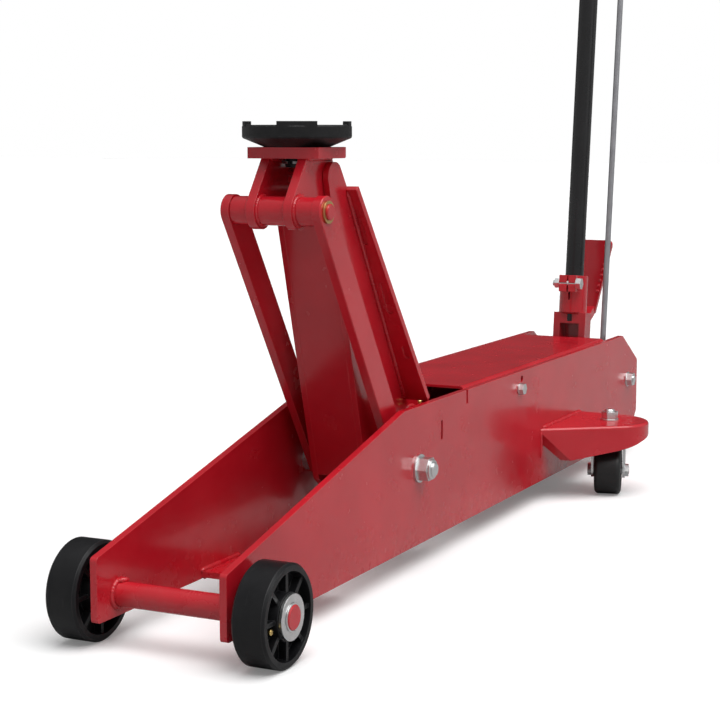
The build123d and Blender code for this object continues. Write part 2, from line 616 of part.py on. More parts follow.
with BuildPart() as bracket_ear:
    with BuildSketch(upright(EAR_OUT)):
        with Locations((HEAD_X, HEAD_Z)):
            Circle(HEAD_END_R)
        with Locations((PIN_X, PIN_Z)):
            Circle(EYE_R)
        with Locations(((TABLE_FRONT - 3.0 + TABLE_REAR + 10.0) / 2, TABLE_Z - 0.5)):
            Rectangle(TABLE_FRONT - TABLE_REAR - 13.0, 1.0)
        make_hull()
        with Locations((HEAD_X, HEAD_Z)):
            Circle(HEAD_PIN_R + FIT, mode=Mode.SUBTRACT)
        with Locations((PIN_X, PIN_Z)):
            Circle(TUBE_R + FIT, mode=Mode.SUBTRACT)
    extrude(amount=EAR_OUT - EAR_IN)
write_both_sides(bracket_ear, "bracket_ears")

with BuildPart() as bracket_pin_tube:
    cross_rod(TUBE_R, -LINK_IN + 0.5, LINK_IN - 0.5, PIN_X, PIN_Z)
    cross_rod(LINK_PIN_R + FIT, -LINK_IN, LINK_IN, PIN_X, PIN_Z, mode=Mode.SUBTRACT)
write(bracket_pin_tube, "bracket_pin_tube")

PIN_END = LINK_OUT + 5.5
with BuildPart() as link_pin:
    cross_rod(LINK_PIN_R, -PIN_END, PIN_END, PIN_X, PIN_Z)
    chamfer(link_pin.edges(), 1.2)
write(link_pin, "link_pin")

with BuildPart() as link_pin_washers:
    cross_rod(14.0, LINK_OUT + 0.3, LINK_OUT + 2.5, PIN_X, PIN_Z)
    cross_rod(LINK_PIN_R + FIT, LINK_OUT, LINK_OUT + 3.0, PIN_X, PIN_Z, mode=Mode.SUBTRACT)
write_both_sides(link_pin_washers, "link_pin_washers")

# ---------------------------------------------------------------- saddle
SEAT_R = 57.0
table_top = TABLE_Z + TABLE_THICKNESS
saddle_axis = Axis((SADDLE_X, 0, 0), (0, 0, 1))
with BuildPart() as saddle:
    with BuildSketch(Plane(origin=(SADDLE_X, 0, 0), x_dir=(1, 0, 0), z_dir=(0, -1, 0))):
        with BuildLine():
            Polyline(
                (0, TABLE_Z - 11.0),
                (POST_R, TABLE_Z - 11.0),
                (POST_R, table_top + 0.3),
                (42.0, table_top + 0.3),
                (SADDLE_R - 1.0, table_top + 11.0),
                (SADDLE_R, table_top + 13.0),
                (SADDLE_R, SADDLE_SEAT_Z + 1.0),
                (SADDLE_R - 2.0, SADDLE_SEAT_Z + 3.0),
                (SEAT_R + 3.0, SADDLE_SEAT_Z + 3.0),
                (SEAT_R, SADDLE_SEAT_Z),
                (0, SADDLE_SEAT_Z),
                close=True,
            )
        make_face()
    revolve(axis=saddle_axis)
    with BuildSketch(Plane.XY.offset(SADDLE_SEAT_Z + 1.0)):
        with Locations((SADDLE_X, 0)):
            with PolarLocations(SADDLE_R - 6.0, 4, start_angle=LUG_TURN):
                Rectangle(10.0, 50.0)
        with Locations((SADDLE_X, 0)):
            Circle(SADDLE_R, mode=Mode.INTERSECT)
    extrude(amount=LUG_HEIGHT - 1.0)
    with BuildSketch(Plane(origin=(SADDLE_X, 0, 0), x_dir=(1, 0, 0), z_dir=(0, -1, 0))):
        with Locations((POST_R - 0.6, TABLE_Z - 5.0)):
            Rectangle(1.4, 3.2)
    revolve(axis=saddle_axis, mode=Mode.SUBTRACT)
write(saddle, "saddle")

with BuildPart() as saddle_ring:
    with BuildSketch(Plane.XY.offset(TABLE_Z - 6.5)):
        with Locations((SADDLE_X, 0)):
            Circle(19.0)
            Circle(POST_R - 1.1, mode=Mode.SUBTRACT)
        with Locations((SADDLE_X + POST_R, 0)):
            Rectangle(12.0, 7.0, mode=Mode.SUBTRACT)
    extrude(amount=3.0)
write(saddle_ring, "saddle_ring")

# ---------------------------------------------------------------- hydraulic unit
TANK_IN_R = 45.5
CYLINDER_OUT_R = 38.0
CAP = 22.0
pad_face = BAR_X - BAR_R - PUSH_GAP
PAD = 12.0
with BuildPart() as ram:
    long_rod(RAM_R, FRONT_X - 1020.0, pad_face - PAD, 0, RAM_Z)
    long_rod(BORE_R - FIT, FRONT_X - 1042.0, FRONT_X - 1020.0, 0, RAM_Z)
write(ram, "ram")

with BuildPart() as ram_pad:
    block(pad_face - PAD, pad_face, -27.0, 27.0, 68.0, 118.0)
    chamfer(ram_pad.edges().filter_by(Axis.X), 5.0)
write(ram_pad, "ram_pad")

with BuildPart() as cylinder_tube:
    long_rod(CYLINDER_OUT_R, TANK_REAR, TANK_FRONT, 0, RAM_Z)
    long_rod(BORE_R, TANK_REAR, TANK_FRONT, 0, RAM_Z, mode=Mode.SUBTRACT)
write(cylinder_tube, "cylinder_tube")

with BuildPart() as reservoir_tube:
    long_rod(TANK_OUT_R, TANK_REAR, TANK_FRONT, 0, RAM_Z)
    long_rod(TANK_IN_R, TANK_REAR, TANK_FRONT, 0, RAM_Z, mode=Mode.SUBTRACT)
write(reservoir_tube, "reservoir_tube")

with BuildPart() as cylinder_cap:
    long_rod(TANK_OUT_R, TANK_FRONT, TANK_FRONT + CAP, 0, RAM_Z)
    chamfer(cylinder_cap.edges().filter_by(GeomType.CIRCLE).group_by(Axis.X)[-1], 4.0)
    long_rod(RAM_R + 5.0, TANK_FRONT + CAP - 8.0, TANK_FRONT + CAP, 0, RAM_Z, mode=Mode.SUBTRACT)
    long_rod(RAM_R + FIT, TANK_FRONT, TANK_FRONT + CAP, 0, RAM_Z, mode=Mode.SUBTRACT)
write(cylinder_cap, "cylinder_cap")

with BuildPart() as wiper_seal:
    long_rod(RAM_R + 5.0, TANK_FRONT + CAP - 8.0, TANK_FRONT + CAP + 1.0, 0, RAM_Z)
    long_rod(RAM_R + FIT, TANK_FRONT + CAP - 8.0, TANK_FRONT + CAP + 1.0, 0, RAM_Z, mode=Mode.SUBTRACT)
write(wiper_seal, "wiper_seal")

BODY_BOTTOM = 46.0
ROD_FOOT = (HANDLE_X, ROD_Y, HANDLE_Z)
spindle_dir = (sin(radians(SPINDLE_LEAN)), 0, -cos(radians(SPINDLE_LEAN)))
spindle_plane = Plane(origin=ROD_FOOT, x_dir=(0, 1, 0), z_dir=spindle_dir)
BORE_TO = BODY_REAR + 110.0
with BuildPart() as valve_body:
    block(BODY_REAR, TANK_REAR, -55.0, 55.0, BODY_BOTTOM, 150.0)
    block(BODY_REAR, TANK_REAR, -41.0, 41.0, 150.0, 196.0)
    fillet(valve_body.edges().filter_by(Axis.X).group_by(Axis.Z)[-1], 6.0)
    block(BODY_REAR, BODY_REAR + 44.0, 30.0, 74.0, 84.0, 138.0)
    for y in (-41.0, 31.0):
        with BuildSketch(upright(y + 10.0)):
            with Locations((HANDLE_X, HANDLE_Z)):
                Circle(16.0)
            with Locations((BODY_REAR + 10.0, 180.0)):
                Rectangle(20.0, 32.0)
            make_hull()
        extrude(amount=10.0)
    with BuildSketch(spindle_plane.offset(86.0)):
        Circle(12.0)
    extrude(amount=40.0)
    with BuildSketch(spindle_plane.offset(40.0)):
        Circle(6.0 + FIT)
    extrude(amount=100.0, mode=Mode.SUBTRACT)
    cross_rod(10.0 + FIT, -41.0, 41.0, HANDLE_X, HANDLE_Z, mode=Mode.SUBTRACT)
    long_rod(PLUNGER_R + FIT, BODY_REAR, BORE_TO, 0, PLUNGER_Z, mode=Mode.SUBTRACT)
    for x, y in UNIT_BOLTS:
        with Locations((x, y, BODY_BOTTOM + 9.0)):
            Cylinder(5.0 + FIT, 18.0, mode=Mode.SUBTRACT)
    with Locations((FRONT_X - 1235.0, 0, 189.0)):
        Cylinder(8.0 + FIT, 14.0, mode=Mode.SUBTRACT)
write(valve_body, "valve_body")

with BuildPart() as unit_bolts:
    for x, y in UNIT_BOLTS:
        with Locations((x, y, 46.0)):
            Cylinder(5.0, 30.0)
        with BuildSketch(Plane.XY.offset(30.0)):
            with Locations((x, y)):
                RegularPolygon(8.0, 6, major_radius=False)
        extrude(amount=6.0)
write(unit_bolts, "unit_bolts")

with BuildPart() as filler_plug:
    with Locations((FRONT_X - 1235.0, 0, 190.5)):
        Cylinder(8.0, 11.0)
    with BuildSketch(Plane.XY.offset(196.0)):
        with Locations((FRONT_X - 1235.0, 0)):
            RegularPolygon(10.0, 6, major_radius=False)
    extrude(amount=7.0)
write(filler_plug, "filler_plug")

with BuildPart() as pump_gland_nut:
    with BuildSketch(Plane(origin=(BODY_REAR - 12.0, 0, PLUNGER_Z), x_dir=(0, 1, 0), z_dir=(1, 0, 0))):
        RegularPolygon(14.0, 6, major_radius=False)
        Circle(PLUNGER_R + FIT, mode=Mode.SUBTRACT)
    extrude(amount=12.0)
write(pump_gland_nut, "pump_gland_nut")

with BuildPart() as handle_pivot_pin:
    cross_rod(10.0, -43.0, 43.0, HANDLE_X, HANDLE_Z)
write(handle_pivot_pin, "handle_pivot_pin")

# ---------------------------------------------------------------- pump plunger
lobe = radians(LOBE_ANGLE)
toe_x = HANDLE_X - LOBE_R * sin(lobe)
toe_z = HANDLE_Z - LOBE_R * cos(lobe)
cap_face = toe_x + PUMP_ROLLER_R + 0.6
with BuildPart() as pump_plunger:
    long_rod(PLUNGER_R, cap_face, BODY_REAR + 60.0, 0, PLUNGER_Z)
    long_rod(14.0, cap_face, cap_face + 5.0, 0, PLUNGER_Z)
write(pump_plunger, "pump_plunger")

SPRING_WIRE = 1.5
SPRING_R = 11.5
spring_from = cap_face + 5.0 + SPRING_WIRE
spring_to = BODY_REAR - 12.0 - SPRING_WIRE
with BuildPart() as plunger_spring:
    with BuildLine():
        coil = Helix(
            pitch=(spring_to - spring_from) / 6,
            height=spring_to - spring_from,
            radius=SPRING_R,
            center=(spring_from, 0, PLUNGER_Z),
            direction=(1, 0, 0),
        )
    with BuildSketch(Plane(origin=coil @ 0, z_dir=coil % 0)):
        Circle(SPRING_WIRE)
    sweep(path=coil, is_frenet=True)
write(plunger_spring, "plunger_spring")

# ---------------------------------------------------------------- handle
# Drawn about the handle pivot: local z runs up the handle, local x towards the front.
handle_plane = Plane(
    origin=(HANDLE_X, 0, HANDLE_Z),
    x_dir=(cos(radians(HANDLE_LEAN)), 0, sin(radians(HANDLE_LEAN))),
    z_dir=(-sin(radians(HANDLE_LEAN)), 0, cos(radians(HANDLE_LEAN))),
)


def handle_side(y):
    """Side view plane of the handle at station y, drawn in handle x and z."""
    return tilted(HANDLE_X, y, HANDLE_Z, HANDLE_LEAN)


CHEEK_IN = 18.0
CHEEK_OUT = 30.0
SOCKET_FROM = 66.0
SOCKET_TO = 133.0
SOCKET_R = 25.0
CLAMP = (32.0, 118.0)
CLAMP_OUT = 16.0
PEDAL_PIN = (-36.0, 56.0)
toe_local = (
    LOBE_R * sin(radians(-LOBE_ANGLE - HANDLE_LEAN)),
    -LOBE_R * cos(radians(-LOBE_ANGLE - HANDLE_LEAN)),
)
with BuildPart(handle_plane) as handle_yoke:
    for y in (-CHEEK_IN, CHEEK_OUT):
        with BuildSketch(handle_side(y)):
            Circle(17.0)
            with Locations(toe_local):
                Circle(PUMP_ROLLER_R + 1.0)
            make_hull()
            with Locations((0, 28.0)):
                Rectangle(32.0, 56.0)
            Circle(10.0 + FIT, mode=Mode.SUBTRACT)
        extrude(amount=CHEEK_OUT - CHEEK_IN)
    with Locations((toe_local[0], 0, toe_local[1])):
        Cylinder(PUMP_ROLLER_R, 2 * CHEEK_IN, rotation=(90, 0, 0))
    with Locations((0, 0, 56.0)):
        Box(32.0, 2 * CHEEK_OUT, 2 * (SOCKET_FROM - 56.0))
    with Locations((0, 0, (SOCKET_FROM + SOCKET_TO) / 2)):
        Cylinder(SOCKET_R, SOCKET_TO - SOCKET_FROM)
    with Locations((CLAMP[0] - 12.0, 0, CLAMP[1])):
        Box(34.0, 2 * CLAMP_OUT, 30.0)
    for y in (-14.0, 14.0):
        with BuildSketch(handle_side(y + 4.0)):
            with Locations(PEDAL_PIN):
                Circle(9.0)
            with Locations((-14.0, 54.0)):
                Rectangle(4.0, 14.0)
            make_hull()
        extrude(amount=8.0)
    with Locations((0, 0, 50.0 + SOCKET_TO / 2)):
        Cylinder(HANDLE_R + FIT, SOCKET_TO, mode=Mode.SUBTRACT)
    with Locations((CLAMP[0], 0, SOCKET_TO - 22.0)):
        Box(44.0, 3.0, 44.0, mode=Mode.SUBTRACT)
    with Locations((CLAMP[0], 0, CLAMP[1])):
        Cylinder(5.0 + FIT, 60.0, rotation=(90, 0, 0), mode=Mode.SUBTRACT)
    with Locations((PEDAL_PIN[0], 0, PEDAL_PIN[1])):
        Cylinder(5.0 + FIT, 60.0, rotation=(90, 0, 0), mode=Mode.SUBTRACT)
    with Locations((-13.0, 0, 31.0)):
        Box(6.0, 2 * CHEEK_IN, 34.0)
write(handle_yoke, "handle_yoke")

with BuildPart(handle_plane) as clamp_bolt:
    with Locations((CLAMP[0], -3.0, CLAMP[1])):
        Cylinder(5.0, 2 * CLAMP_OUT + 18.0, rotation=(90, 0, 0))
    with BuildSketch(handle_side(CLAMP_OUT + 9.0)):
        with Locations(CLAMP):
            RegularPolygon(9.5, 6, major_radius=False)
    extrude(amount=9.0)
    with BuildSketch(handle_side(-CLAMP_OUT)):
        with Locations(CLAMP):
            RegularPolygon(8.5, 6, major_radius=False)
            Circle(5.0 + FIT, mode=Mode.SUBTRACT)
    extrude(amount=8.0)
write(clamp_bolt, "clamp_bolt")

with BuildPart(handle_plane) as handle_tube:
    with Locations((0, 0, (50.0 + HANDLE_LENGTH - 8.0) / 2)):
        Cylinder(HANDLE_R, HANDLE_LENGTH - 58.0)
        Cylinder(HANDLE_R - 2.5, HANDLE_LENGTH - 58.0, mode=Mode.SUBTRACT)
write(handle_tube, "handle_tube")

GRIP_FROM = 810.0
with BuildPart(handle_plane) as handle_grip:
    with Locations((0, 0, (GRIP_FROM + HANDLE_LENGTH) / 2)):
        Cylinder(21.0, HANDLE_LENGTH - GRIP_FROM)
    fillet(handle_grip.edges().filter_by(GeomType.CIRCLE), 4.0)
    with Locations((0, 0, (GRIP_FROM + HANDLE_LENGTH - 8.0) / 2)):
        Cylinder(HANDLE_R, HANDLE_LENGTH - 8.0 - GRIP_FROM, mode=Mode.SUBTRACT)
write(handle_grip, "handle_grip")

GUIDE_Z = 770.0
with BuildPart(handle_plane) as rod_guide:
    with BuildSketch(handle_plane.offset(GUIDE_Z - 10.0)):
        Circle(HANDLE_R + 4.0)
        with Locations((0, ROD_Y)):
            Circle(ROD_R + 4.0)
        with Locations((0, ROD_Y / 2)):
            Rectangle(7.0, ROD_Y)
        Circle(HANDLE_R + FIT, mode=Mode.SUBTRACT)
        with Locations((0, ROD_Y)):
            Circle(ROD_R + FIT, mode=Mode.SUBTRACT)
    extrude(amount=20.0)
write(rod_guide, "rod_guide")

# ---------------------------------------------------------------- release rod and valve
# The rod ends in a ball on the handle's pivot axis, held in the cup of the valve spindle.
BALL_R = 8.0
CUP_R = 12.0
KNOB_FROM = HANDLE_LENGTH - 90.0
rod_plane = Plane(origin=ROD_FOOT, x_dir=handle_plane.x_dir, z_dir=handle_plane.z_dir)
with BuildPart(rod_plane) as release_rod:
    Sphere(BALL_R)
    with Locations((0, 0, (KNOB_FROM + 10.0) / 2)):
        Cylinder(ROD_R, KNOB_FROM + 10.0)
write(release_rod, "release_rod")

with BuildPart(rod_plane) as release_knob:
    with Locations((0, 0, KNOB_FROM + 20.0)):
        Cylinder(15.0, 40.0)
    with BuildSketch(rod_plane.offset(KNOB_FROM)):
        with PolarLocations(16.5, 8):
            Circle(4.0)
    extrude(amount=40.0, mode=Mode.SUBTRACT)
    with Locations((0, 0, KNOB_FROM + 5.0)):
        Cylinder(ROD_R + FIT, 10.0, mode=Mode.SUBTRACT)
write(release_knob, "release_knob")

with BuildPart(spindle_plane) as release_spindle:
    with Locations((0, 0, 9.0)):
        Cylinder(CUP_R, 18.0)
    with Locations((0, 0, 75.0)):
        Cylinder(6.0, 114.0)
    Sphere(BALL_R + FIT, mode=Mode.SUBTRACT)
write(release_spindle, "release_spindle")

# ---------------------------------------------------------------- foot pedal
PAD_LOW = (-98.0, 72.0)
PAD_HIGH = (-90.0, 203.0)
PAD_HALF = 38.0
pad_span = hypot(PAD_HIGH[0] - PAD_LOW[0], PAD_HIGH[1] - PAD_LOW[1])
pad_lean = degrees(atan2(PAD_HIGH[0] - PAD_LOW[0], PAD_HIGH[1] - PAD_LOW[1]))
pad_foot = handle_side(0).from_local_coords(PAD_LOW)
pad_up = radians(HANDLE_LEAN - pad_lean)
pad_plane = Plane(origin=pad_foot, x_dir=(0, -1, 0), z_dir=(-cos(pad_up), 0, -sin(pad_up)))
with BuildPart() as foot_pedal:
    with BuildSketch(handle_side(9.4)):
        with Locations(PEDAL_PIN):
            Circle(9.0)
        with Locations((-62.0, 50.0)):
            Circle(7.0)
        make_hull()
        with Locations(PEDAL_PIN):
            Circle(5.0 + FIT, mode=Mode.SUBTRACT)
    extrude(amount=18.8)
    with BuildSketch(handle_side(9.4)):
        with Locations((-62.0, 50.0), PAD_LOW):
            Circle(7.0)
        make_hull()
    extrude(amount=18.8)
    with BuildSketch(pad_plane):
        with BuildLine():
            Polyline((-9.4, -6.0), (-PAD_HALF, pad_span - 12.0), (-PAD_HALF, pad_span), (PAD_HALF, pad_span),
                     (PAD_HALF, pad_span - 12.0), (9.4, -6.0), close=True)
        make_face()
    extrude(amount=8.0)
    corners = foot_pedal.edges().filter_by(lambda e: abs(e.length - 8.0) < 0.01).sort_by(Axis.Z)[-2:]
    fillet(corners, 8.0)
    with BuildSketch(pad_plane.offset(8.0)):
        for row, count in ((14.0, 5), (27.0, 5), (40.0, 4), (53.0, 3), (66.0, 3)):
            with Locations((0, pad_span - row)):
                with GridLocations(13.0, 13.0, count, 1):
                    RegularPolygon(4.0, 4)
    extrude(amount=2.5)
write(foot_pedal, "foot_pedal")

with BuildPart(handle_plane) as pedal_pin:
    with Locations((PEDAL_PIN[0], 0, PEDAL_PIN[1])):
        Cylinder(5.0, 36.0, rotation=(90, 0, 0))
        with Locations((0, 19.0, 0), (0, -19.0, 0)):
            Cylinder(8.0, 2.0, rotation=(90, 0, 0))
write(pedal_pin, "pedal_pin")
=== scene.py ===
import json
from math import cos, pi, radians, sin

import bpy
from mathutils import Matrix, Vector


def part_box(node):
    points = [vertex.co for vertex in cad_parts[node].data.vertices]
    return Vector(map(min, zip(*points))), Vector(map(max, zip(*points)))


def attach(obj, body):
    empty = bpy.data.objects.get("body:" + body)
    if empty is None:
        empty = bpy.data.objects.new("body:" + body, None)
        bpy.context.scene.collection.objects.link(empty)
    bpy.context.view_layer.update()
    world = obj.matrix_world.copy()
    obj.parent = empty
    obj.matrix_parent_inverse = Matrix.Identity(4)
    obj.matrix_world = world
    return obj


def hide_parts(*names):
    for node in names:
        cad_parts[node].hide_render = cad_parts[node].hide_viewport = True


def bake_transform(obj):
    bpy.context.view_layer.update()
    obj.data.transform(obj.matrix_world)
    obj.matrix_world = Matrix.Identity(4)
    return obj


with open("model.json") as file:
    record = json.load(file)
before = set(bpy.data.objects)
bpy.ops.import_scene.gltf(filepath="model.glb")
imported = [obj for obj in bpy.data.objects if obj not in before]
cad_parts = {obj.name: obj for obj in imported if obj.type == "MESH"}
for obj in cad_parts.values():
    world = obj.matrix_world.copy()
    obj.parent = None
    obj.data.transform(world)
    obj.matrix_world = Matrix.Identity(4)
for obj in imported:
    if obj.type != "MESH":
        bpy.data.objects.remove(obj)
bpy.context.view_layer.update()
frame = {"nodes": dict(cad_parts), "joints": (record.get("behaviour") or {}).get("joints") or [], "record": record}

nodes = frame["nodes"]
joints = {joint["name"]: joint for joint in frame["joints"]}


def joint_point(name):
    """A joint's position in metres."""
    return Vector(joints[name]["pos_m"])


def joint_axis(name):
    """A joint's direction."""
    return Vector(joints[name]["axis"]).normalized()


# ---------------------------------------------------------------- materials
class Graph:
    """A node material round one principled shader, textured in object space, in metres."""

    def __init__(self, name):
        self.material = bpy.data.materials.new(name)
        self.material.use_nodes = True
        self.tree = self.material.node_tree
        self.tree.nodes.clear()
        self.output = self.tree.nodes.new("ShaderNodeOutputMaterial")
        self.shader = self.tree.nodes.new("ShaderNodeBsdfPrincipled")
        self.tree.links.new(self.shader.outputs[0], self.output.inputs["Surface"])
        self.place = self.tree.nodes.new("ShaderNodeTexCoord").outputs["Object"]
        self.relief = None

    def put(self, socket, value):
        if isinstance(value, bpy.types.NodeSocket):
            self.tree.links.new(value, socket)
        else:
            socket.default_value = value

    def add(self, kind, result, settings=None, **inputs):
        node = self.tree.nodes.new(kind)
        for key, value in (settings or {}).items():
            setattr(node, key, value)
        for key, value in inputs.items():
            self.put(node.inputs[key.replace("_", " ")], value)
        return node.outputs[result]

    def set(self, **inputs):
        for key, value in inputs.items():
            self.put(self.shader.inputs[key.replace("_", " ")], value)

    def stretched(self, x, y, z):
        node = self.tree.nodes.new("ShaderNodeMapping")
        self.put(node.inputs["Vector"], self.place)
        node.inputs["Scale"].default_value = (x, y, z)
        return node.outputs["Vector"]

    def noise(self, scale, detail=3.0, roughness=0.55, where=None):
        return self.add("ShaderNodeTexNoise", "Fac", Vector=where or self.place, Scale=scale,
                        Detail=detail, Roughness=roughness)

    def cells(self, scale):
        return self.add("ShaderNodeTexVoronoi", "Distance", {"feature": "F1"},
                        Vector=self.place, Scale=scale)

    def ramp(self, value, low, high, to_low=0.0, to_high=1.0):
        node = self.tree.nodes.new("ShaderNodeMapRange")
        self.put(node.inputs["Value"], value)
        for key, number in (("From Min", low), ("From Max", high), ("To Min", to_low), ("To Max", to_high)):
            node.inputs[key].default_value = number
        return node.outputs["Result"]

    def math(self, operation, first, second=0.0):
        node = self.tree.nodes.new("ShaderNodeMath")
        node.operation = operation
        self.put(node.inputs[0], first)
        self.put(node.inputs[1], second)
        return node.outputs[0]

    def mix(self, share, first, second):
        node = self.tree.nodes.new("ShaderNodeMix")
        node.data_type = "RGBA"
        self.put(node.inputs["Factor"], share)
        self.put(node.inputs[6], first)
        self.put(node.inputs[7], second)
        return node.outputs[2]

    def edges(self, radius):
        """1 along outer edges of the shape, 0 on open faces."""
        soft = self.add("ShaderNodeBevel", "Normal", {"samples": 4}, Radius=radius)
        hard = self.add("ShaderNodeNewGeometry", "Normal")
        node = self.tree.nodes.new("ShaderNodeVectorMath")
        node.operation = "DOT_PRODUCT"
        self.put(node.inputs[0], soft)
        self.put(node.inputs[1], hard)
        return self.ramp(node.outputs["Value"], 0.995, 0.90)

    def bump(self, height, depth, strength=1.0):
        node = self.tree.nodes.new("ShaderNodeBump")
        node.inputs["Strength"].default_value = strength
        node.inputs["Distance"].default_value = depth
        self.put(node.inputs["Height"], height)
        if self.relief is not None:
            self.put(node.inputs["Normal"], self.relief)
        self.relief = node.outputs["Normal"]
        self.put(self.shader.inputs["Normal"], self.relief)

    def rounded(self, radius):
        """Shades sharp edges as if they had a small radius."""
        self.relief = self.add("ShaderNodeBevel", "Normal", {"samples": 4}, Radius=radius)
        self.put(self.shader.inputs["Normal"], self.relief)


def rgb(red, green, blue):
    return (red, green, blue, 1.0)


def red_enamel(name, gloss=0.17):
    """Sprayed enamel: slight orange peel, a painted highlight along the rims, chips on the edges and dust near the
    floor.
    """
    g = Graph(name)
    g.rounded(0.0012)
    cloud = g.noise(9.0, 4.0)
    speckle = g.noise(900.0, 2.0)
    colour = g.mix(g.ramp(cloud, 0.35, 0.65), rgb(0.50, 0.008, 0.018), rgb(0.58, 0.012, 0.024))
    rim = g.edges(0.0016)
    # Painted highlight: every rim is mixed towards a brighter red. The same rim mask, broken up by noise, places
    # the worn chips below.
    colour = g.mix(g.math("MULTIPLY", rim, 0.45), colour, rgb(0.78, 0.06, 0.07))
    worn = g.math("MULTIPLY", rim, g.ramp(g.noise(75.0, 6.0, 0.7), 0.66, 0.70))
    colour = g.mix(worn, colour, rgb(0.16, 0.13, 0.125))
    low = g.tree.nodes.new("ShaderNodeSeparateXYZ")
    g.put(low.inputs[0], g.place)
    dust = g.math("MULTIPLY", g.ramp(low.outputs["Z"], 0.09, 0.0),
                  g.ramp(g.noise(34.0, 5.0, 0.65), 0.4, 0.75))
    colour = g.mix(g.math("MULTIPLY", dust, 0.25), colour, rgb(0.30, 0.22, 0.20))
    g.set(Base_Color=colour, Coat_Weight=0.28, Coat_Roughness=0.10, Specular_IOR_Level=0.45)
    rough = g.ramp(g.noise(26.0, 5.0), 0.3, 0.7, gloss, gloss + 0.12)
    g.set(Roughness=g.math("ADD", rough, g.math("MULTIPLY", dust, 0.25)))
    g.bump(g.noise(340.0, 2.0), 0.00009, 0.6)
    g.bump(speckle, 0.00003, 0.35)
    g.bump(g.noise(7.0, 2.0), 0.0022, 0.32)
    return g.material


def black_cast(name):
    """Painted casting with a coarse skin, rubbed lighter on its edges."""
    g = Graph(name)
    g.rounded(0.0015)
    grain = g.noise(420.0, 5.0, 0.7)
    patch = g.noise(30.0, 4.0)
    colour = g.mix(g.ramp(patch, 0.35, 0.7), rgb(0.004, 0.004, 0.0045), rgb(0.012, 0.012, 0.013))
    rub = g.math("MULTIPLY", g.edges(0.0014), g.ramp(g.noise(120.0, 5.0, 0.7), 0.50, 0.62))
    colour = g.mix(g.math("MULTIPLY", rub, 0.6), colour, rgb(0.12, 0.12, 0.125))
    g.set(Base_Color=colour, Roughness=g.ramp(grain, 0.3, 0.7, 0.42, 0.62), Specular_IOR_Level=0.3)
    g.bump(grain, 0.00030, 0.7)
    g.bump(g.cells(520.0), 0.00012, 0.35)
    return g.material


def wheel_black(name):
    """Wheel paint, scuffed along the tread, with a painted highlight along its edges."""
    g = Graph(name)
    g.rounded(0.0012)
    grain = g.noise(650.0, 4.0, 0.65)
    scuff = g.ramp(g.noise(95.0, 6.0, 0.72, g.stretched(0.25, 1.0, 0.25)), 0.62, 0.74)
    colour = g.mix(g.ramp(g.noise(18.0, 4.0), 0.35, 0.7), rgb(0.004, 0.004, 0.005), rgb(0.011, 0.011, 0.012))
    colour = g.mix(g.math("MULTIPLY", scuff, 0.30), colour, rgb(0.060, 0.058, 0.057))
    # Painted highlight: every edge is mixed evenly towards a lighter grey.
    colour = g.mix(g.math("MULTIPLY", g.edges(0.0012), 0.30), colour, rgb(0.12, 0.12, 0.125))
    rough = g.ramp(g.noise(60.0, 4.0), 0.3, 0.7, 0.30, 0.46)
    g.set(Base_Color=colour, Roughness=g.math("ADD", rough, g.math("MULTIPLY", scuff, 0.2)),
          Specular_IOR_Level=0.24)
    g.bump(grain, 0.00012, 0.55)
    return g.material


def metal(name, low, high, rough, variation=0.12, grain=900.0, lines=None, patch=40.0, depth=0.00004):
    """Bare or plated metal: cloudy tint, darker stains, and a grain that can be stretched into brushing."""
    g = Graph(name)
    g.rounded(0.0007)
    cloud = g.noise(patch, 4.0, 0.6)
    colour = g.mix(g.ramp(cloud, 0.3, 0.7), rgb(*low), rgb(*high))
    stain = g.ramp(g.noise(160.0, 6.0, 0.7), 0.60, 0.78)
    colour = g.mix(g.math("MULTIPLY", stain, 0.28), colour, rgb(*[value * 0.45 for value in low]))
    where = g.stretched(*lines) if lines else None
    brushed = g.noise(grain, 3.0, 0.6, where)
    g.set(Base_Color=colour, Metallic=1.0,
          Roughness=g.ramp(brushed, 0.25, 0.75, rough, rough + variation))
    g.bump(brushed, depth, 0.5)
    return g.material


def black_paint(name):
    """Satin tube paint with rub marks that run along the tube."""
    g = Graph(name)
    peel = g.noise(420.0, 2.0)
    colour = g.mix(g.ramp(g.noise(16.0, 4.0), 0.3, 0.7), rgb(0.005, 0.005, 0.006), rgb(0.011, 0.011, 0.012))
    rub = g.ramp(g.noise(70.0, 6.0, 0.75, g.stretched(1.0, 1.0, 0.12)), 0.66, 0.72)
    colour = g.mix(g.math("MULTIPLY", rub, 0.35), colour, rgb(0.11, 0.11, 0.11))
    g.set(Base_Color=colour, Coat_Weight=0.25, Coat_Roughness=0.16, Specular_IOR_Level=0.35,
          Roughness=g.ramp(g.noise(45.0, 4.0), 0.3, 0.7, 0.24, 0.38))
    g.bump(peel, 0.00008, 0.6)
    return g.material


def soft_black(name, tone, rough, grain, depth):
    """Rubber or nylon: matt, finely grained, slightly greyed where it is handled, with a painted highlight along
    its edges.
    """
    g = Graph(name)
    g.rounded(0.0010)
    fine = g.noise(grain, 4.0, 0.65)
    haze = g.ramp(g.noise(24.0, 5.0, 0.65), 0.42, 0.75)
    worn = tone * 2.6
    colour = g.mix(g.math("MULTIPLY", haze, 0.5), rgb(tone, tone, tone * 1.05), rgb(worn, worn, worn))
    # Painted highlight: every edge is mixed evenly towards a lighter grey.
    colour = g.mix(g.math("MULTIPLY", g.edges(0.0012), 0.35), colour, rgb(0.09, 0.09, 0.092))
    g.set(Base_Color=colour, Roughness=g.ramp(fine, 0.3, 0.7, rough, rough + 0.15), Specular_IOR_Level=0.4)
    g.bump(fine, depth, 0.6)
    return g.material


def seal_blue(name):
    """Blue polyurethane."""
    g = Graph(name)
    fine = g.noise(500.0, 3.0)
    g.set(Base_Color=g.mix(g.ramp(g.noise(60.0), 0.3, 0.7), rgb(0.02, 0.06, 0.17), rgb(0.03, 0.09, 0.24)),
          Roughness=g.ramp(fine, 0.3, 0.7, 0.35, 0.5), Subsurface_Weight=0.05)
    g.bump(fine, 0.00005, 0.5)
    return g.material


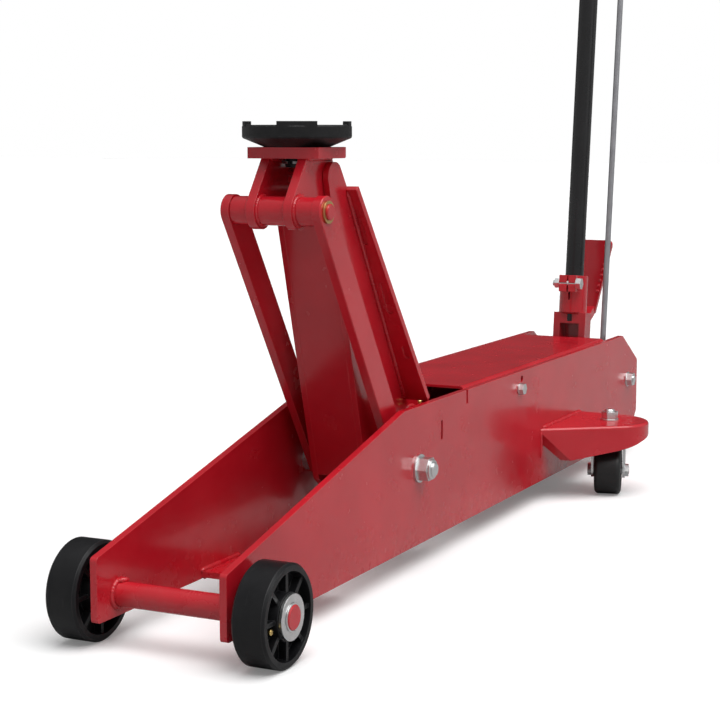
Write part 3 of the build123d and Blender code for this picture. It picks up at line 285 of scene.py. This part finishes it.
materials = {
    "red_paint": red_enamel("red_enamel"),
    "weld_paint": red_enamel("red_enamel_on_weld", 0.22),
    "cast_black": black_cast("black_casting"),
    "wheel_black": wheel_black("wheel_black"),
    "black_paint": black_paint("black_satin_paint"),
    "zinc_plate": metal("zinc_plating", (0.60, 0.61, 0.60), (0.74, 0.75, 0.76), 0.24, 0.16, 700.0),
    "dull_zinc": metal("dull_zinc_rod", (0.34, 0.34, 0.36), (0.44, 0.44, 0.46), 0.30, 0.16, 700.0,
                       (1.0, 1.0, 0.06)),
    "ground_steel": metal("ground_chrome", (0.70, 0.70, 0.71), (0.80, 0.80, 0.81), 0.07, 0.08, 1500.0,
                          (1.0, 0.05, 0.05), 20.0, 0.00002),
    "dark_steel": metal("machined_steel", (0.20, 0.20, 0.205), (0.33, 0.33, 0.335), 0.30, 0.18, 1100.0,
                        (0.08, 1.0, 0.08)),
    "bronze": metal("bearing_bronze", (0.52, 0.32, 0.12), (0.66, 0.44, 0.19), 0.26, 0.16, 1100.0),
    "brass": metal("nipple_brass", (0.62, 0.42, 0.13), (0.78, 0.58, 0.24), 0.20, 0.14, 1100.0),
    "rubber": soft_black("grip_rubber", 0.007, 0.55, 800.0, 0.00010),
    "nylon": soft_black("black_nylon", 0.007, 0.36, 520.0, 0.00006),
    "seal": seal_blue("wiper_polyurethane"),
}
slot_of = {piece["node"]: piece["material_slot"] for piece in frame["record"]["subparts"]}
for name, node in nodes.items():
    slot = slot_of[name]
    if name.startswith("front_wheel"):
        slot = "wheel_black"
    if name == "release_rod":
        slot = "dull_zinc"
    node.data.materials.clear()
    node.data.materials.append(materials[slot])


# ---------------------------------------------------------------- mesh helpers
def piece(name, points, faces, body, material, slot, smooth=True):
    """A mesh object that rides on a CAD body."""
    mesh = bpy.data.meshes.new(name)
    mesh.from_pydata([tuple(point) for point in points], [], faces)
    mesh.validate()
    mesh.update()
    if smooth:
        mesh.polygons.foreach_set("use_smooth", [True] * len(mesh.polygons))
    obj = bpy.data.objects.new(name, mesh)
    bpy.context.scene.collection.objects.link(obj)
    mesh.materials.append(material)
    if body:
        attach(obj, body)
    return obj


def basis(axis):
    """Two unit vectors across an axis."""
    axis = Vector(axis).normalized()
    side = axis.cross(Vector((0, 0, 1)) if abs(axis.z) < 0.9 else Vector((1, 0, 0))).normalized()
    return side, axis.cross(side).normalized()


def tube(path, radii, sides=10, closed=False):
    """Points and faces of a round bar along a path, with its own radius at each point."""
    points, faces = [], []
    count = len(path)
    normal = None
    for index, centre in enumerate(path):
        before = path[index - 1] if index or closed else path[0]
        after = path[(index + 1) % count] if index < count - 1 or closed else path[-1]
        along = (Vector(after) - Vector(before)).normalized()
        if normal is None:
            normal = basis(along)[0]
        normal = (normal - along * normal.dot(along)).normalized()
        other = along.cross(normal)
        for side in range(sides):
            turn = 2 * pi * side / sides
            points.append(Vector(centre) + (normal * cos(turn) + other * sin(turn)) * radii[index])
    for index in range(count if closed else count - 1):
        here, there = index * sides, ((index + 1) % count) * sides
        for side in range(sides):
            nxt = (side + 1) % sides
            faces.append((here + side, here + nxt, there + nxt, there + side))
    if not closed:
        faces.append(tuple(range(sides - 1, -1, -1)))
        faces.append(tuple((count - 1) * sides + side for side in range(sides)))
    return points, faces


def lathe(profile, origin, axis, segments=48):
    """Points and faces of a closed profile of (radius, height) turned about an axis."""
    side, other = basis(axis)
    axis = Vector(axis).normalized()
    origin = Vector(origin)
    points, faces = [], []
    for segment in range(segments):
        turn = 2 * pi * segment / segments
        out = side * cos(turn) + other * sin(turn)
        points += [origin + out * radius + axis * height for radius, height in profile]
    size = len(profile)
    for segment in range(segments):
        here, there = segment * size, ((segment + 1) % segments) * size
        for index in range(size):
            nxt = (index + 1) % size
            faces.append((here + index, there + index, there + nxt, here + nxt))
    return points, faces


def merge(parts):
    """Several point and face lists as one."""
    points, faces = [], []
    for more_points, more_faces in parts:
        start = len(points)
        points += more_points
        faces += [tuple(start + index for index in face) for face in more_faces]
    return points, faces


def wobble(index, seed):
    """Repeatable value between -1 and 1."""
    value = sin(index * 12.9898 + seed * 78.233) * 43758.5453
    return 2 * (value - int(value // 1)) - 1


WELD_STEP = 0.0011
WELD_RIPPLE = 0.0034


def bead(start, end, radius, seed):
    """A rippled weld bead along a straight seam."""
    start, end = Vector(start), Vector(end)
    length = (end - start).length
    count = max(4, int(length / WELD_STEP))
    path = [start.lerp(end, index / count) for index in range(count + 1)]
    radii = []
    for index in range(count + 1):
        ripple = 0.12 * sin(2 * pi * index * length / count / WELD_RIPPLE)
        taper = min(1.0, 0.35 + min(index, count - index) * 0.16)
        radii.append(radius * taper * (1 + ripple + 0.07 * wobble(index // 3, seed)))
    return tube(path, radii, 8)


def ring_bead(centre, axis, ring, radius, seed):
    """A rippled weld bead round a bar."""
    side, other = basis(axis)
    count = max(24, int(2 * pi * ring / WELD_STEP))
    turns = [2 * pi * index / count for index in range(count)]
    path = [Vector(centre) + (side * cos(turn) + other * sin(turn)) * ring for turn in turns]
    ripples = round(2 * pi * ring / WELD_RIPPLE)
    radii = [radius * (1 + 0.12 * sin(ripples * turn) + 0.06 * wobble(index // 3, seed))
             for index, turn in enumerate(turns)]
    return tube(path, radii, 8, closed=True)


def thread(origin, axis, radius, length, pitch):
    """A threaded bar end. The crests stand just proud of the plain bar under them."""
    side, other = basis(axis)
    axis = Vector(axis).normalized()
    origin = Vector(origin)
    segments, steps = 32, int(length / pitch * 6)
    points, faces = [], []
    for step in range(steps + 1):
        height = length * step / steps
        fade = min(1.0, (length - height) / (1.2 * pitch))
        for segment in range(segments):
            turn = 2 * pi * segment / segments
            phase = (height / pitch - segment / segments) % 1.0
            crest = 1 - abs(2 * phase - 1)
            reach = radius + 0.00004 + 0.00045 * crest * fade
            points.append(origin + (side * cos(turn) + other * sin(turn)) * reach + axis * height)
    for step in range(steps):
        for segment in range(segments):
            nxt = (segment + 1) % segments
            faces.append((step * segments + segment, step * segments + nxt,
                          (step + 1) * segments + nxt, (step + 1) * segments + segment))
    faces.append(tuple(range(segments - 1, -1, -1)))
    faces.append(tuple(steps * segments + segment for segment in range(segments)))
    return points, faces


# ---------------------------------------------------------------- places, in metres
PLATE_IN = 0.081
PLATE_OUT = 0.090
front_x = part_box("side_plate_left")[1].x
arm = joint_point("arm_lift")
head = joint_point("bracket_level")
arm_along = (head - arm).normalized()
arm_over = Vector((-arm_along.z, 0, arm_along.x))
link_foot = joint_point("link_swing")
link_head = head + link_foot - arm
handle_foot = joint_point("handle_pump")
handle_up = joint_axis("release_twist")
handle_fore = Vector((handle_up.z, 0, -handle_up.x))
across = Vector((0, 1, 0))


def on_arm(along, over, y):
    """Point of the lifting arm: along the arm, square to it towards the back, and across."""
    point = arm + arm_along * along + arm_over * over
    return Vector((point.x, y, point.z))


def on_handle(fore, y, up):
    """Point of the handle: towards the front, across, and up the handle."""
    return handle_foot + handle_fore * fore + across * y + handle_up * up


def behind(distance, y, z):
    """Point at a distance behind the front edge of the side plates."""
    return Vector((front_x - distance, y, z))


# ---------------------------------------------------------------- welds
def weld(name, beads, body):
    """Painted weld beads as one piece."""
    return piece(name, *merge(beads), body, materials["weld_paint"], "red_paint")


CRANK_LENGTH = 0.100
CRANK_TURN = radians(-56.85)    # from the arm's underside to the crank
TANK_Z = 0.095
EAR_IN, EAR_OUT = 0.0194, 0.0326
SEAM_UP = 0.0230                # seam under the bracket's table, above the head pin

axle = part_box("front_axle")
axle_centre = (axle[0] + axle[1]) / 2
wing_rear, wing_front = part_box("caster_wings")[0].x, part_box("caster_wings")[1].x
for label, side in (("left", 1), ("right", -1)):
    inner, outer = side * (PLATE_IN - 0.0006), side * (PLATE_OUT + 0.0006)
    weld("axle_weld_" + label, [
        ring_bead((axle_centre.x, inner, axle_centre.z), across, 0.0160, 0.0032, 1),
        ring_bead((axle_centre.x, outer, axle_centre.z), across, 0.0236, 0.0020, 2),
    ], "frame")
    weld("axle_blob_" + label, [
        bead(Vector((axle_centre.x + 0.006, side * 0.0790, axle_centre.z + 0.0165)),
             Vector((axle_centre.x - 0.006, side * 0.0710, axle_centre.z + 0.0160)), 0.0040, 30),
    ], "frame")
    weld("cross_plate_weld_" + label, [
        bead(behind(0.226, inner, 0.0448), behind(0.324, inner, 0.0448), 0.0034, 3),
        bead(behind(0.230, inner, 0.0352), behind(0.320, inner, 0.0352), 0.0026, 4),
        bead(behind(1.4835, inner, 0.064), behind(1.4835, inner, 0.102), 0.0026, 5),
        bead(behind(1.4925, inner, 0.064), behind(1.4925, inner, 0.102), 0.0026, 6),
        bead(behind(1.194, inner, 0.0468), behind(1.348, inner, 0.0468), 0.0030, 7),
        bead(behind(0.9275, inner, 0.042), behind(0.9275, inner, 0.164), 0.0030, 8),
        bead(behind(0.9365, inner, 0.042), behind(0.9365, inner, 0.164), 0.0030, 9),
    ], "frame")
    weld("wing_weld_" + label, [
        bead(Vector((wing_rear + 0.010, outer, 0.1206)),
             Vector((wing_front - 0.010, outer, 0.1206)), 0.0030, 10),
        bead(Vector((wing_front - 0.0005, outer, 0.072)),
             Vector((wing_front - 0.0005, outer, 0.114)), 0.0024, 11),
    ], "frame")
    weld("shaft_boss_weld_" + label, [
        ring_bead((arm.x, inner, arm.z), across, 0.0306, 0.0026, 12),
    ], "frame")
    weld("arm_weld_" + label, [
        bead(on_arm(0.050, 0.0064, side * 0.0422), on_arm(0.390, 0.0152, side * 0.0422), 0.0026, 13),
        ring_bead((arm.x, side * 0.0416, arm.z), across, 0.0308, 0.0028, 14),
        ring_bead(on_arm(CRANK_LENGTH * sin(CRANK_TURN), -CRANK_LENGTH * cos(CRANK_TURN), side * 0.0414),
                  across, 0.0104, 0.0018, 15),
    ], "lifting_arm")
    weld("bracket_weld_" + label, [
        bead(Vector((head.x - 0.008, side * EAR_OUT, head.z + SEAM_UP)),
             Vector((head.x + 0.058, side * EAR_OUT, head.z + SEAM_UP)), 0.0026, 16),
        bead(Vector((head.x - 0.008, side * EAR_IN, head.z + SEAM_UP)),
             Vector((head.x + 0.058, side * EAR_IN, head.z + SEAM_UP)), 0.0024, 17),
        ring_bead((link_head.x, side * EAR_OUT, link_head.z), across, 0.0186, 0.0024, 18),
        ring_bead((link_head.x, side * EAR_IN, link_head.z), across, 0.0184, 0.0022, 19),
    ], "saddle_bracket")
weld("tank_weld", [
    ring_bead(behind(0.890, 0, TANK_Z), (1, 0, 0), 0.0500, 0.0020, 20),
    ring_bead(behind(0.9272, 0, TANK_Z), (1, 0, 0), 0.0510, 0.0024, 21),
    ring_bead(behind(1.1894, 0, TANK_Z), (1, 0, 0), 0.0505, 0.0026, 22),
], "frame")
weld("socket_weld", [
    bead(on_handle(side * 0.0166, -0.017, 0.0654), on_handle(side * 0.0166, 0.017, 0.0654), 0.0022, 23)
    for side in (-1, 1)
], "handle")
weld("guide_weld", [
    ring_bead(on_handle(0, 0, reach), handle_up, 0.0168, 0.0014, 24) for reach in (0.7596, 0.7804)
], "handle")


# ---------------------------------------------------------------- small hardware
# A grease nipple's outline: radius and height.
NIPPLE = ((0.0008, 0.0), (0.0048, 0.0), (0.0048, 0.0028), (0.0031, 0.0036), (0.0026, 0.0060),
          (0.0037, 0.0074), (0.0035, 0.0092), (0.0022, 0.0102), (0.0008, 0.0102))


def nipple(name, origin, axis, body):
    """A brass grease nipple."""
    return piece(name, *lathe(NIPPLE, origin, axis, 24), body, materials["brass"], "bronze", smooth=False)


NIPPLE_TURN = radians(-15.0)
NIPPLE_OUT = 0.036              # from the wheel's axis
WHEEL_WEB = 0.1309              # outer face of a front wheel's web
HUB_TOP = 0.0298
THREAD_FROM = 0.1338
for label, side in (("left", 1), ("right", -1)):
    wheel = joint_point("front_wheel_" + label + "_spin")
    offset = Vector((cos(NIPPLE_TURN), 0, sin(NIPPLE_TURN))) * NIPPLE_OUT
    nipple("wheel_nipple_" + label, Vector((wheel.x, side * WHEEL_WEB, wheel.z)) + offset, (0, side, 0),
           "front_wheel_" + label)
    nipple("hub_nipple_" + label, Vector((arm.x, side * 0.056, arm.z + HUB_TOP)), (0, 0, 1), "lifting_arm")
    king = joint_point("caster_" + label + "_swivel")
    crests = thread((king.x, king.y, THREAD_FROM), (0, 0, 1), 0.0080, 0.0027, 0.0012)
    piece("kingpin_thread_" + label, *crests, "frame", materials["zinc_plate"], "zinc_plate")

# Round studs along both edges of the foot pedal's front face.
# PAD_LOW and PAD_HIGH are in the handle's own axes.
STUD = ((0.0001, 0.0016), (0.0016, 0.0014), (0.0028, 0.0006), (0.0032, -0.0004), (0.0001, -0.0004))
PAD_LOW = Vector((-0.098, 0, 0.072))
PAD_HIGH = Vector((-0.090, 0, 0.203))
STUD_ROWS = 9
STUD_STEP = 0.010
STUD_START = 0.036
PAD_TAPER = 0.2284              # half width gained per unit of height
pad_run = (PAD_HIGH - PAD_LOW).normalized()
pad_face = handle_fore * pad_run.z - handle_up * pad_run.x
studs = []
for row in range(STUD_ROWS):
    climb = STUD_START + STUD_STEP * row
    edge = 0.0094 + (climb + 0.006) * PAD_TAPER - 0.0055
    centre = PAD_LOW + pad_run * climb
    for side in (-1, 1):
        studs.append(lathe(STUD, on_handle(centre.x, side * edge, centre.z), pad_face, 16))
piece("pedal_studs", *merge(studs), "foot_pedal", materials["weld_paint"], "red_paint", smooth=False)

# Spring of the pump plunger: a coil between the plunger and the gland nut, with a flat turn at each end.
WIRE = 0.0014
COIL_R = 0.0115
TURNS = 7
spring_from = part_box("pump_plunger")[0].x + 0.005 + WIRE
spring_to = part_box("pump_gland_nut")[0].x - WIRE
spring_z = (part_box("pump_gland_nut")[0].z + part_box("pump_gland_nut")[1].z) / 2
steps = TURNS * 28
coil = []
for step in range(steps + 1):
    share = step / steps
    turn = 2 * pi * TURNS * share
    run = min(max((share - 0.1) / 0.8, 0.0), 1.0)
    coil.append(Vector((spring_from + (spring_to - spring_from) * run,
                        COIL_R * cos(turn), spring_z + COIL_R * sin(turn))))
spring = piece("plunger_coil", *tube(coil, [WIRE] * len(coil), 10), None, materials["dark_steel"],
               "dark_steel")
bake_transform(spring)
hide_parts("plunger_spring")

# Ribbed rubber grip with a flange at each end and a vent in its cap.
GRIP_FROM, GRIP_TO = 0.810, 0.975
profile = [(0.0166, GRIP_FROM), (0.0204, GRIP_FROM), (0.0210, GRIP_FROM + 0.002),
           (0.0210, GRIP_FROM + 0.008), (0.0186, GRIP_FROM + 0.010)]
rib = GRIP_FROM + 0.014
while rib < GRIP_TO - 0.020:
    profile += [(0.0182, rib), (0.0196, rib + 0.0010), (0.0196, rib + 0.0030), (0.0182, rib + 0.0040)]
    rib += 0.0062
profile += [(0.0186, GRIP_TO - 0.014), (0.0210, GRIP_TO - 0.012), (0.0210, GRIP_TO - 0.003),
            (0.0192, GRIP_TO), (0.0020, GRIP_TO), (0.0020, GRIP_TO - 0.007), (0.0166, GRIP_TO - 0.007)]
grip = piece("ribbed_grip", *lathe(profile, handle_foot, handle_up, 56), "handle", materials["rubber"],
             "rubber", smooth=False)
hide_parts("handle_grip")

# ---------------------------------------------------------------- floor, light and camera
# The floor is white to the camera and greyer in the light it throws back at the object.
floor_graph = Graph("studio_floor")
floor_rays = floor_graph.tree.nodes.new("ShaderNodeLightPath")
tone = floor_graph.mix(floor_graph.ramp(floor_graph.noise(3.0, 4.0), 0.3, 0.7),
                       rgb(0.86, 0.86, 0.86), rgb(0.90, 0.90, 0.90))
floor_graph.set(
    Base_Color=floor_graph.mix(floor_rays.outputs["Is Camera Ray"], rgb(0.46, 0.46, 0.46), tone),
    Roughness=0.75, Specular_IOR_Level=0.15, Emission_Color=rgb(1.0, 1.0, 1.0),
    Emission_Strength=floor_graph.math("MULTIPLY", floor_rays.outputs["Is Camera Ray"], 0.16))
floor_mesh = bpy.data.meshes.new("studio_floor")
floor_mesh.from_pydata([(-30, -30, 0), (30, -30, 0), (30, 30, 0), (-30, 30, 0)], [], [(0, 1, 2, 3)])
floor_mesh.materials.append(floor_graph.material)
studio_floor = bpy.data.objects.new("studio_floor", floor_mesh)
bpy.context.scene.collection.objects.link(studio_floor)

VIEW_TURN = radians(26.07)      # camera direction off the X axis
VIEW_DROP = radians(7.52)
look = Vector((-cos(VIEW_TURN) * cos(VIEW_DROP), -sin(VIEW_TURN) * cos(VIEW_DROP), -sin(VIEW_DROP)))

# White surroundings, darker in reflections straight behind the object, as a black card would make them.
world = bpy.data.worlds.new("studio")
world.use_nodes = True
tree = world.node_tree
background = tree.nodes["Background"]
background.inputs["Color"].default_value = rgb(1.0, 1.0, 1.0)
rays = tree.nodes.new("ShaderNodeLightPath")
toward = tree.nodes.new("ShaderNodeVectorMath")
toward.operation = "DOT_PRODUCT"
tree.links.new(tree.nodes.new("ShaderNodeTexCoord").outputs["Generated"], toward.inputs[0])
toward.inputs[1].default_value = (look.x, look.y, 0.0)
card = tree.nodes.new("ShaderNodeMapRange")
card.inputs["From Min"].default_value = 0.35
card.inputs["From Max"].default_value = 0.85
card.inputs["To Min"].default_value = 0.50
card.inputs["To Max"].default_value = 0.06
tree.links.new(toward.outputs["Value"], card.inputs["Value"])
glossy = tree.nodes.new("ShaderNodeMix")
glossy.inputs[2].default_value = 0.22
tree.links.new(rays.outputs["Is Glossy Ray"], glossy.inputs[0])
tree.links.new(card.outputs["Result"], glossy.inputs[3])
seen = tree.nodes.new("ShaderNodeMix")
seen.inputs[3].default_value = 1.0
tree.links.new(rays.outputs["Is Camera Ray"], seen.inputs[0])
tree.links.new(glossy.outputs[0], seen.inputs[2])
tree.links.new(seen.outputs[0], background.inputs["Strength"])
bpy.context.scene.world = world


def softbox(name, place, target, width, height, watts):
    """A rectangular area light aimed at a point."""
    light = bpy.data.lights.new(name, "AREA")
    light.shape = "RECTANGLE"
    light.size = width
    light.size_y = height
    light.energy = watts
    obj = bpy.data.objects.new(name, light)
    obj.location = place
    obj.rotation_euler = (Vector(target) - Vector(place)).to_track_quat("-Z", "Y").to_euler()
    bpy.context.scene.collection.objects.link(obj)


softbox("side", (-0.6, 3.6, 1.8), (0.0, 0.0, 0.2), 3.0, 1.6, 6.0)
sky_light = bpy.data.lights.new("key", "SUN")
sky_light.energy = 3.0
sky_light.angle = radians(60.0)
key = bpy.data.objects.new("key", sky_light)
key.rotation_euler = Vector((-0.15, -0.35, -1.0)).to_track_quat("-Z", "Y").to_euler()
bpy.context.scene.collection.objects.link(key)

camera_data = bpy.data.cameras.new("camera")
camera_data.sensor_width = 36.0
camera_data.lens = 86.3
camera = bpy.data.objects.new("camera", camera_data)
camera.location = (front_x + 1.5891, 1.0303, 0.5921)
camera.rotation_euler = look.to_track_quat("-Z", "Y").to_euler()
bpy.context.scene.collection.objects.link(camera)
bpy.context.scene.camera = camera
bpy.context.scene.view_settings.view_transform = "Standard"
